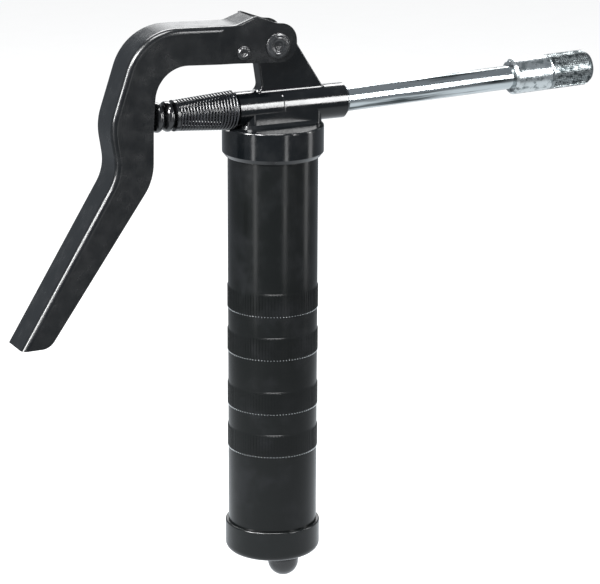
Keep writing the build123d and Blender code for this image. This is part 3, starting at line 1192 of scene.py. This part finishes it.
@dataclass
class Lever:
    """The pressed lever with its rivets, bush and wear strip.

    Attributes:
        book: where finishes come from.
        cheek_half_width: from the middle to the outside of a cheek, in mm.
    """

    book: FinishBook
    cheek_half_width: float = 8.2

    def build(self) -> None:
        """Make the rivets and dress the rest."""
        dress("lever_channel", self.book.get(LEVER_ENAMEL))
        dress("wear_strip", self.book.get(BLACK_OXIDE))
        self._rivet("pivot_rivet", shank=3.5, ring=3.4, dimple=1.2)
        self._rivet("stop_rivet", shank=1.9, ring=1.9, dimple=0.7)
        dress("stop_bush", self.book.get(ZINC_STEEL))

    def _rivet(self, node: str, shank: float, ring: float, dimple: float) -> None:
        """A spun rivet: at each end a flat flange, a raised ring and a centre dimple.

        Args:
            node: the CAD node it stands for.
            shank: its shank's radius, in mm.
            ring: radius of the raised ring's crest, in mm.
            dimple: radius of the centre dimple, in mm.
        """
        low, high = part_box(node)
        head = (high.x - low.x) / 2 / MM
        half = (high.y - low.y) / 2 / MM
        sheet_face = self.cheek_half_width
        tall = half - sheet_face
        side = [
            (shank, sheet_face, 0.0),
            (head, sheet_face, 0.0),
            (head, sheet_face + tall * 0.45, 0.25),
            (ring + (head - ring) * 0.55, sheet_face + tall * 0.5, 0.3),
            (ring + 0.25, half, 0.35),
            (ring - 0.45, half, 0.35),
            (ring - (ring - dimple) * 0.55, sheet_face + tall * 0.62, 0.25),
            (dimple, sheet_face + tall * 0.62, 0.2),
            (dimple * 0.5, sheet_face + tall * 0.2, 0.2),
            (0.0, sheet_face + tall * 0.15, 0.0),
        ]
        other = [(radius, -height, cut) for radius, height, cut in reversed(side)]
        middle = (low + high) / 2
        frame = axis_frame(Vector((middle.x, 0, middle.z)), Vector((0, 1, 0)))
        name = node + "_spun"
        turned = lathe(name, rounded(side + other), frame, steps=72)
        rivet = new_piece(name, turned, self.book.get(BLACK_OXIDE), smooth_under=40.0)
        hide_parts(node)
        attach(rivet, "lever")


# ------------------------------------------------------------------ studio
@dataclass
class Softbox:
    """One rectangular studio light aimed at a point.

    Attributes:
        name: the light's name.
        azimuth: degrees round from straight in front, positive to the right.
        elevation: degrees above the horizon.
        distance: metres from the point it is aimed at.
        width: metres across.
        height: metres up.
        watts: its power.
    """

    name: str
    azimuth: float
    elevation: float
    distance: float
    width: float
    height: float
    watts: float

    def build(self, target: Vector) -> None:
        """Put the light in the scene.

        Args:
            target: the point it faces.
        """
        lamp = bpy.data.lights.new(self.name, "AREA")
        lamp.shape = "RECTANGLE"
        lamp.size, lamp.size_y = self.width, self.height
        lamp.energy = self.watts
        a, e = math.radians(self.azimuth), math.radians(self.elevation)
        away = Vector((math.sin(a) * math.cos(e), -math.cos(a) * math.cos(e), math.sin(e)))
        light = bpy.data.objects.new(self.name, lamp)
        light.location = target + away * self.distance
        light.rotation_mode = "QUATERNION"
        light.rotation_quaternion = away.to_track_quat("Z", "Y")
        light.visible_camera = False
        bpy.context.scene.collection.objects.link(light)


@dataclass
class Studio:
    """Floor, lights, surroundings and camera.

    Attributes:
        azimuth: the camera's place round the gun, in degrees.
        elevation: its height above the horizon, in degrees.
        distance: from the camera to the point it is aimed at, in metres.
        aim_height: height of that point over the grip's middle, in metres.
        aim_across: how far it lies to the right of the barrel's axis, in metres.
        roll: the camera's turn about its own axis, in degrees.
        lens: focal length on a 36 mm sensor, in mm.
        floor_radius: in metres.
        pool_bright: how far out the lit pool is at its brightest, in metres.
        pool_radius: where it has faded into the room, in metres.
        pool_glow: its brightness.
        pool_drop: how far under the floor it lies, in metres.
        room_glow: the room's brightness.
        boxes: the studio's lights.
    """

    azimuth: float = -26.0
    elevation: float = 16.0
    distance: float = 1.1187
    aim_height: float = 0.032
    aim_across: float = 0.01162
    roll: float = 0.25
    lens: float = 157.8
    floor_radius: float = 6.0
    pool_bright: float = 0.4
    pool_radius: float = 0.85
    pool_glow: float = 1.3
    pool_drop: float = 0.0005
    room_glow: float = 0.38
    boxes: tuple[Softbox, ...] = (
        Softbox("overhead", -20.0, 74.0, 1.4, 0.6, 0.45, 34.0),
        Softbox("left_strip", -84.0, 26.0, 1.3, 0.24, 0.8, 56.0),
        Softbox("left_front", -60.0, 38.0, 1.4, 0.3, 0.5, 60.0),
        Softbox("front_right", 28.0, 20.0, 1.5, 0.22, 0.75, 20.0),
        Softbox("right_side", 70.0, 14.0, 1.3, 0.12, 0.7, 7.0),
        Softbox("back_top", 165.0, 48.0, 1.3, 1.0, 0.4, 22.0),
        Softbox("back_low", 155.0, 15.0, 1.3, 0.7, 0.55, 2.5),
        Softbox("left_low", -70.0, 2.5, 0.5, 0.06, 0.28, 0.3),
        Softbox("middle_low", 3.0, 2.5, 0.55, 0.06, 0.28, 0.3),
        Softbox("right_low", 66.0, 2.5, 0.5, 0.1, 0.28, 0.3),
    )

    def build(self) -> None:
        """Make the whole studio."""
        low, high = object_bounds()
        # the gun hangs over the floor, just high enough for its rod to draw right out
        ground = low.z - ROD_TRAVEL
        self._floor(ground)
        self._pool(ground - self.pool_drop)
        middle = (low + high) / 2
        for box in self.boxes:
            box.build(middle)
        self._surroundings()
        self._camera()

    def _disc(self, name: str, radius: float, height: float) -> bpy.types.Object:
        """A flat round sheet of the studio's.

        Args:
            name: the sheet's name.
            radius: in metres.
            height: where it lies, in metres.

        Returns:
            The sheet, marked as part of the stage.
        """
        work = bmesh.new()
        bmesh.ops.create_circle(work, cap_ends=True, segments=96, radius=radius)
        bmesh.ops.translate(work, verts=work.verts, vec=(0, 0, height))
        mesh = bpy.data.meshes.new(name)
        work.to_mesh(mesh)
        work.free()
        disc = bpy.data.objects.new(name, mesh)
        bpy.context.scene.collection.objects.link(disc)
        disc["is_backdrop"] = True
        return disc

    def _floor(self, height: float) -> None:
        """A plain pale floor under the gun, which its gloss doesn't mirror.

        Args:
            height: where it lies, in metres.
        """
        paper, tree = new_material("matt_white_background_paper")
        place = add_node(tree, "ShaderNodeTexCoord").outputs["Object"]
        fibre = add_node(
            tree, "ShaderNodeTexNoise", {"Vector": place, "Scale": 40.0, "Detail": 4.0}
        ).outputs["Fac"]
        tone = add_node(
            tree,
            "ShaderNodeMix",
            {"Factor": fibre, 6: linear("#707070"), 7: linear("#767676")},
            data_type="RGBA",
        )
        shader = add_node(
            tree,
            "ShaderNodeBsdfPrincipled",
            {
                "Base Color": tone.outputs[2],
                "Roughness": 0.9,
                "Specular IOR Level": 0.0,
                "Emission Color": linear("#ffffff"),
                "Emission Strength": 0.8,
            },
        )
        add_node(tree, "ShaderNodeOutputMaterial", {"Surface": shader.outputs[0]})
        floor = self._disc("studio_floor", self.floor_radius, height)
        floor.data.materials.append(paper)
        floor.visible_glossy = False

    def _pool(self, height: float) -> None:
        """The lit paper that the gloss mirrors, fading into the room's own light.

        Args:
            height: where it lies, in metres.
        """
        glow, tree = new_material("lit_pool_of_paper")
        place = add_node(tree, "ShaderNodeTexCoord").outputs["Object"]
        flat = add_node(
            tree, "ShaderNodeVectorMath", {0: place, 1: (1.0, 1.0, 0.0)}, operation="MULTIPLY"
        ).outputs[0]
        reach = add_node(
            tree, "ShaderNodeVectorMath", {0: flat}, operation="LENGTH"
        ).outputs["Value"]
        fade = add_node(
            tree,
            "ShaderNodeMapRange",
            {
                "Value": reach,
                "From Min": self.pool_bright,
                "From Max": self.pool_radius,
                "To Min": self.pool_glow,
                "To Max": self.room_glow,
            },
            interpolation_type="SMOOTHSTEP",
        ).outputs[0]
        lamp = add_node(tree, "ShaderNodeEmission", {"Color": linear("#f4faff"), "Strength": fade})
        add_node(tree, "ShaderNodeOutputMaterial", {"Surface": lamp.outputs[0]})
        pool = self._disc("studio_pool", self.pool_radius, height)
        pool.data.materials.append(glow)
        pool.visible_camera = pool.visible_diffuse = pool.visible_shadow = False

    def _surroundings(self) -> None:
        """A plain white surround that the gloss picks up."""
        world = bpy.data.worlds.new("white_room")
        world.use_nodes = True
        tree = world.node_tree
        tree.nodes.clear()
        glow = add_node(
            tree,
            "ShaderNodeBackground",
            {"Color": linear("#eef6ff"), "Strength": self.room_glow},
        )
        add_node(tree, "ShaderNodeOutputWorld", {"Surface": glow.outputs[0]})
        bpy.context.scene.world = world

    def _camera(self) -> None:
        """The camera at its place round the gun."""
        a, e, r = (math.radians(v) for v in (self.azimuth, self.elevation, self.roll))
        right = Vector((math.cos(a), math.sin(a), 0))
        back = Vector((math.sin(a) * math.cos(e), -math.cos(a) * math.cos(e), math.sin(e)))
        up = back.cross(right)
        aim = Vector((0, 0, self.aim_height)) + right * self.aim_across
        x = right * math.cos(r) + up * math.sin(r)
        y = up * math.cos(r) - right * math.sin(r)
        data = bpy.data.cameras.new("studio_camera")
        data.lens, data.sensor_width, data.sensor_fit = self.lens, 36.0, "HORIZONTAL"
        data.clip_start, data.clip_end = 0.05, 30.0
        camera = bpy.data.objects.new("studio_camera", data)
        turn = Matrix((x, y, back)).transposed().to_4x4()
        camera.matrix_world = Matrix.Translation(aim + back * self.distance) @ turn
        bpy.context.scene.collection.objects.link(camera)
        bpy.context.scene.camera = camera
        bpy.context.scene.view_settings.view_transform = "Standard"


# ------------------------------------------------------------------ main
def main() -> None:
    """Build the gun's looks in order, then the studio round it."""
    logging.basicConfig(level=logging.INFO, format="%(message)s")
    FRAME.update(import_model())
    book = FinishBook()
    for kind in (Barrel, Follower, PumpHead, DeliveryLine, Plunger, Lever):
        LOG.info("== %s", kind.__name__)
        kind(book).build()
    Studio().build()


if __name__ == "__main__":
    main()
